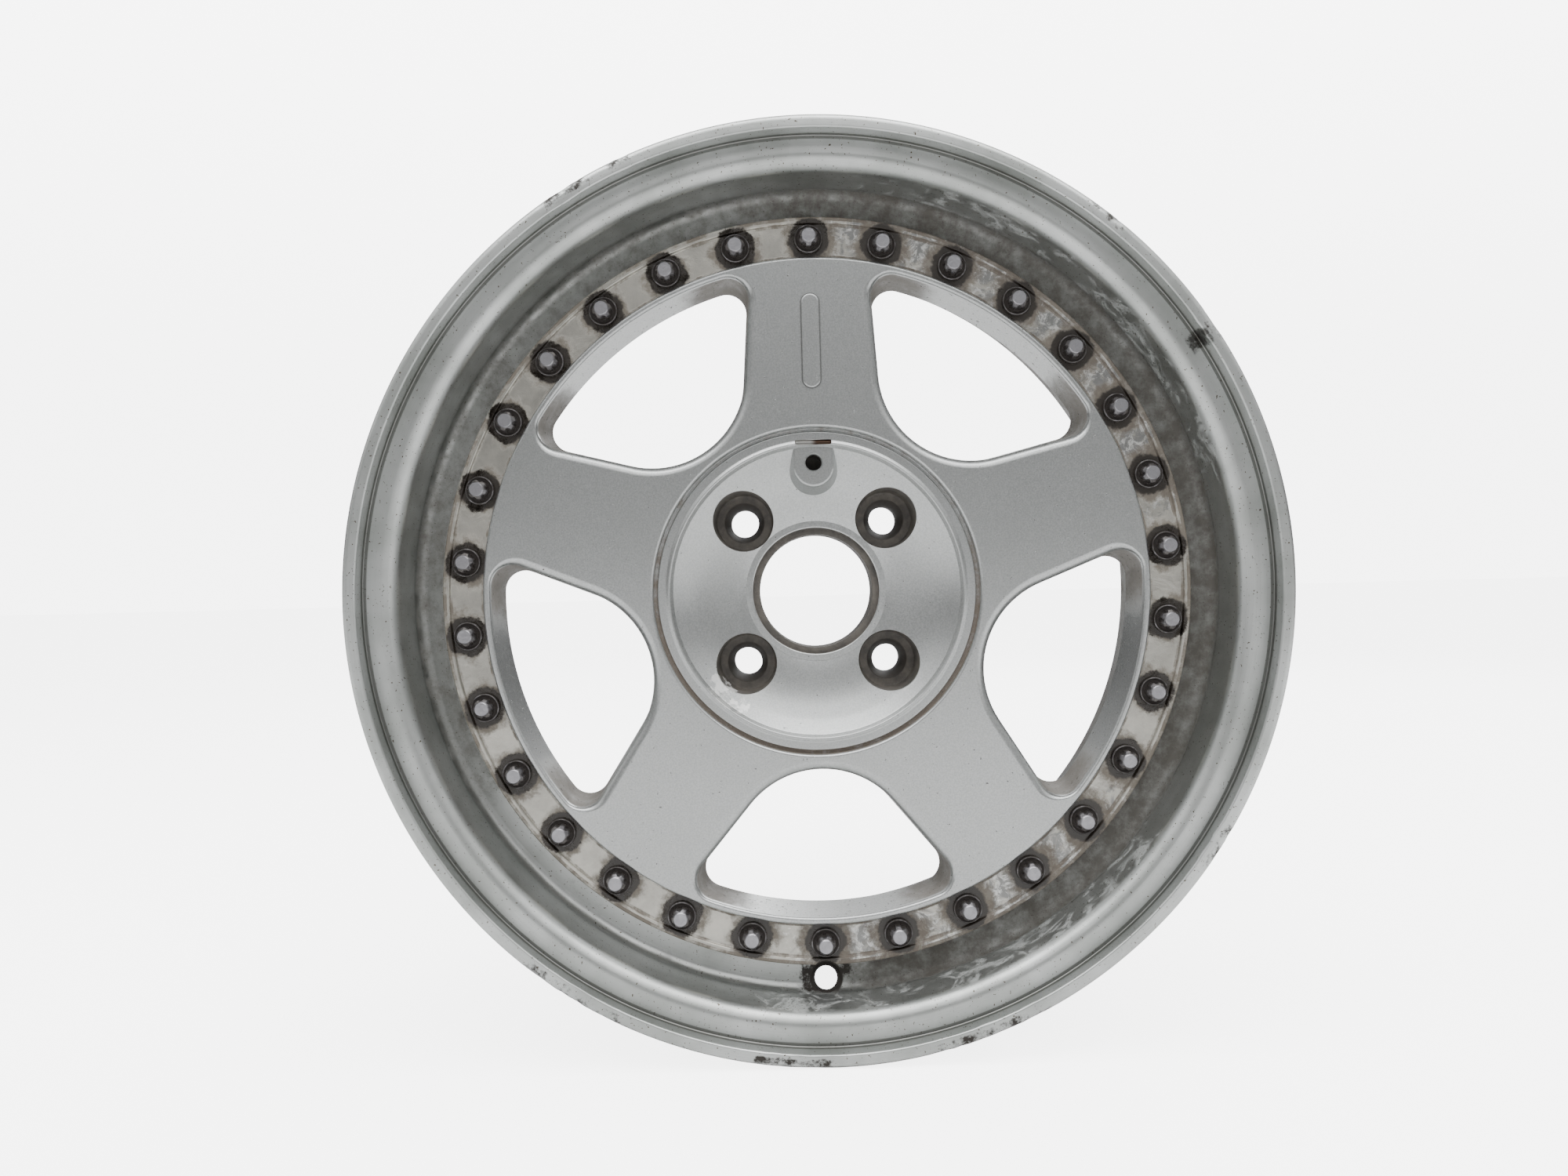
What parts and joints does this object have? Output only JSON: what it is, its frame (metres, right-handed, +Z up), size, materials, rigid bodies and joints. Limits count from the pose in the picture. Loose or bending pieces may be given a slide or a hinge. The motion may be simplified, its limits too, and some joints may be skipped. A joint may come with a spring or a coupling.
{
  "type": "wheel rim",
  "caption": "Multi-piece racing wheel: a forged spoked centre disc bolted between a deep polished lip and an inner barrel.",
  "frame": {"origin": "centre of the wheel: on its axis, midway between the front and rear edges of the rim", "axes": "+Y along the wheel's axis from the street face to the car's side, +Z up through the spoke with the raised bar, +X to the right as seen from the street"},
  "size_m": [0.4402, 0.2186, 0.4402],
  "materials": {
    "silver_paint": "satin silver paint with a fine metallic flake, dirt in the corners",
    "polished_aluminium": "turned and polished aluminium under old lacquer, with white corrosion and kerb marks",
    "plain_aluminium": "turned aluminium, dulled and dusty",
    "sealant": "matt black silicone",
    "plated_steel": "dull zinc plate",
    "bolt_steel": "bright steel, black grime in the recesses"
  },
  "bodies": {
    "root": {"centre_disc": "silver_paint", "outer_rim_half": "polished_aluminium", "inner_rim_half": "plain_aluminium", "sealant_bead": "sealant", "collar_nuts": "plated_steel", "assembly_bolt_01": "bolt_steel", "assembly_bolt_02": "bolt_steel", "assembly_bolt_03": "bolt_steel", "assembly_bolt_04": "bolt_steel", "assembly_bolt_05": "bolt_steel", "assembly_bolt_06": "bolt_steel", "assembly_bolt_07": "bolt_steel", "assembly_bolt_08": "bolt_steel", "assembly_bolt_09": "bolt_steel", "assembly_bolt_10": "bolt_steel", "assembly_bolt_11": "bolt_steel", "assembly_bolt_12": "bolt_steel", "assembly_bolt_13": "bolt_steel", "assembly_bolt_14": "bolt_steel", "assembly_bolt_15": "bolt_steel", "assembly_bolt_16": "bolt_steel", "assembly_bolt_17": "bolt_steel", "assembly_bolt_18": "bolt_steel", "assembly_bolt_19": "bolt_steel", "assembly_bolt_20": "bolt_steel", "assembly_bolt_21": "bolt_steel", "assembly_bolt_22": "bolt_steel", "assembly_bolt_23": "bolt_steel", "assembly_bolt_24": "bolt_steel", "assembly_bolt_25": "bolt_steel", "assembly_bolt_26": "bolt_steel", "assembly_bolt_27": "bolt_steel", "assembly_bolt_28": "bolt_steel", "assembly_bolt_29": "bolt_steel", "assembly_bolt_30": "bolt_steel"}
  },
  "joints": []
}
